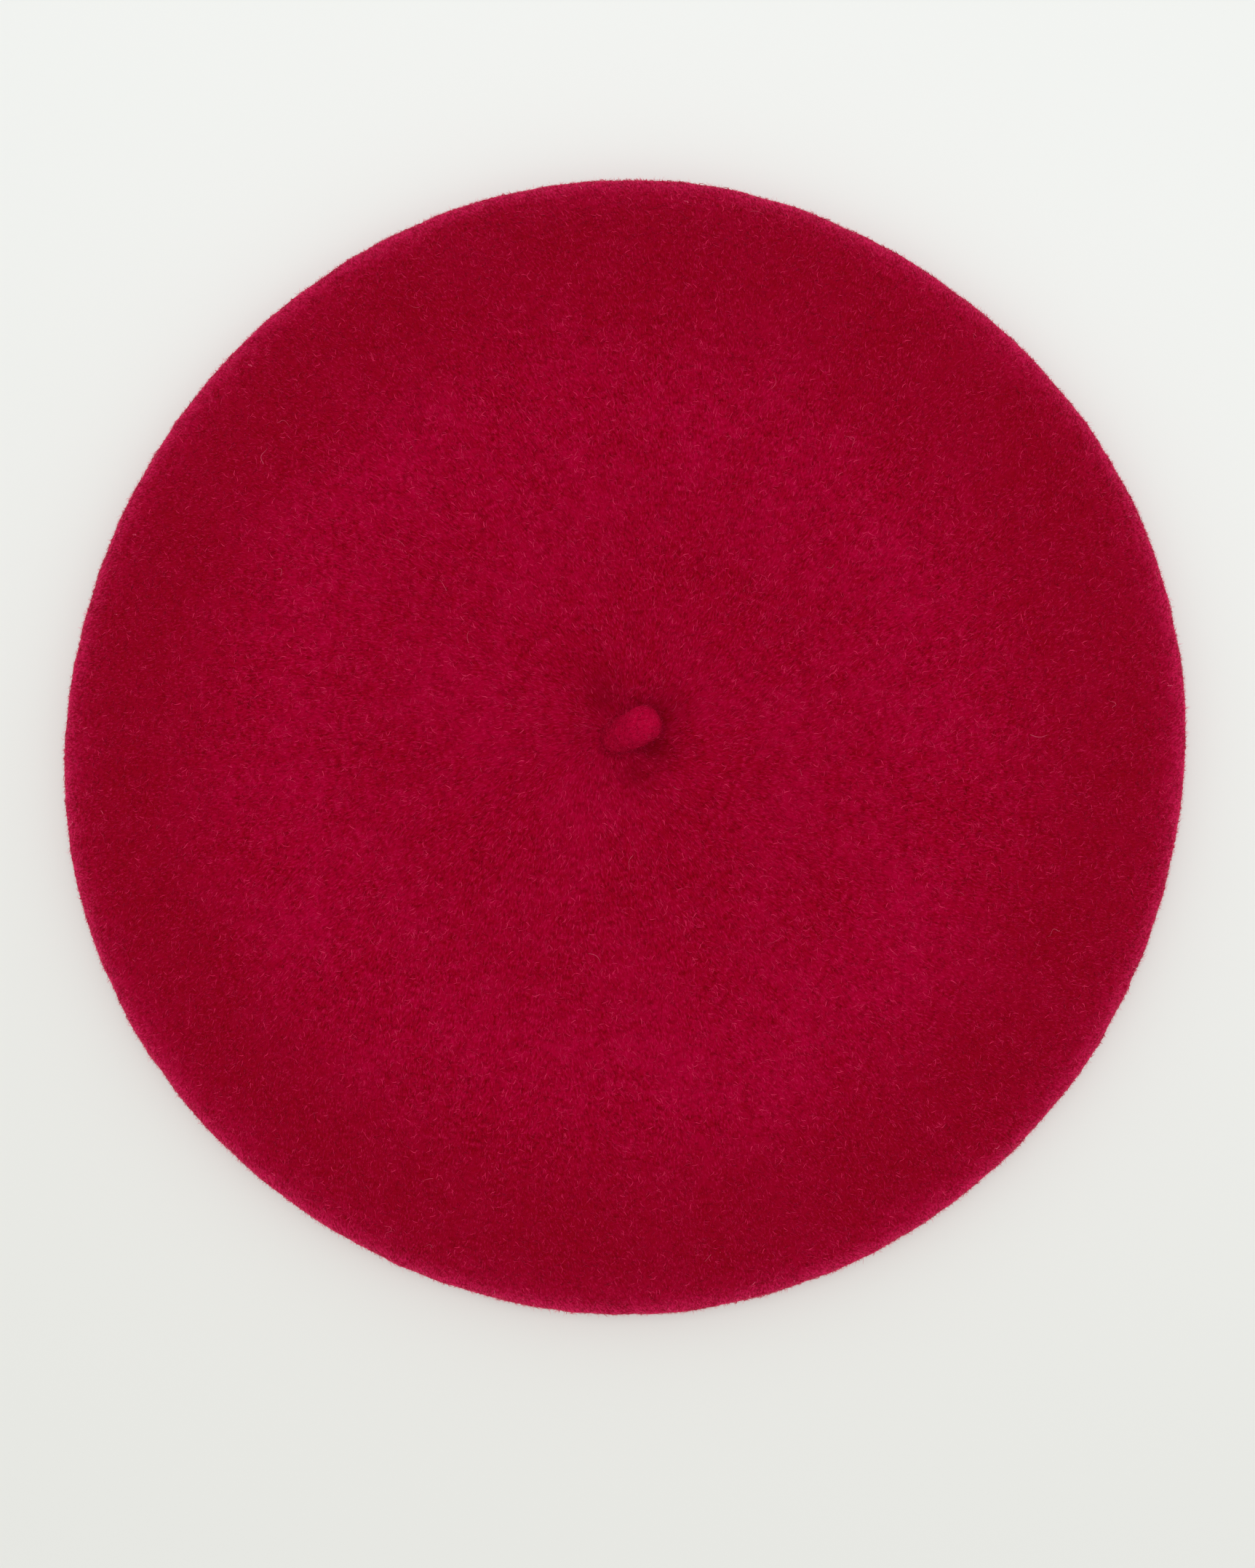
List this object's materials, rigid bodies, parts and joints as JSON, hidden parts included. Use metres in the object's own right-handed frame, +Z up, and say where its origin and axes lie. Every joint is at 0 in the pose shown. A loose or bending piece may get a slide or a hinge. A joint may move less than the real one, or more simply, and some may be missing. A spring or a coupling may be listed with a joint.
{
  "type": "beret",
  "caption": "Round felted wool beret lying flat: a soft disc crown with a leaning stalk, a turned-in margin round the head opening and a ribbon sweatband.",
  "frame": {"origin": "under the middle of the crown and of the head opening, on the surface that the beret lies on", "axes": "+Z up through the crown; -Y the back, where the sweatband's seam is; +X the wearer's right when the back is behind them"},
  "size_m": [0.29, 0.29, 0.0418],
  "materials": {
    "crown_felt": "milled and brushed crimson wool felt with a short swirling nap",
    "stalk_felt": "hard-milled crimson wool felt, brushed at the tip",
    "ribbon": "ribbed grosgrain ribbon, dark red, low sheen",
    "thread": "two-ply sewing thread, matched to the felt",
    "elastic": "woven elastic tape, off-white",
    "label": "blank woven satin label, off-white",
    "label_thread": "fine thread, off-white"
  },
  "bodies": {
    "crown": {"crown": "crown_felt", "stalk_tail": "stalk_felt", "stalk_tacks": "thread", "sweatband": "ribbon", "sweatband_stitches": "thread", "seam_stitches": "thread", "elastic_tape": "elastic", "elastic_stitches": "thread", "care_label": "label", "label_stitches": "label_thread"},
    "stalk": {"stalk": "stalk_felt"}
  },
  "joints": [
    {"name": "stalk_lean", "type": "hinge", "parent": "crown", "child": "stalk", "pos_m": [0, 0, 0.0296], "axis": [-0.4384, 0.8988, 0], "range_deg": [-86, 18], "stiffness_Nm_per_rad": 0.002}
  ]
}
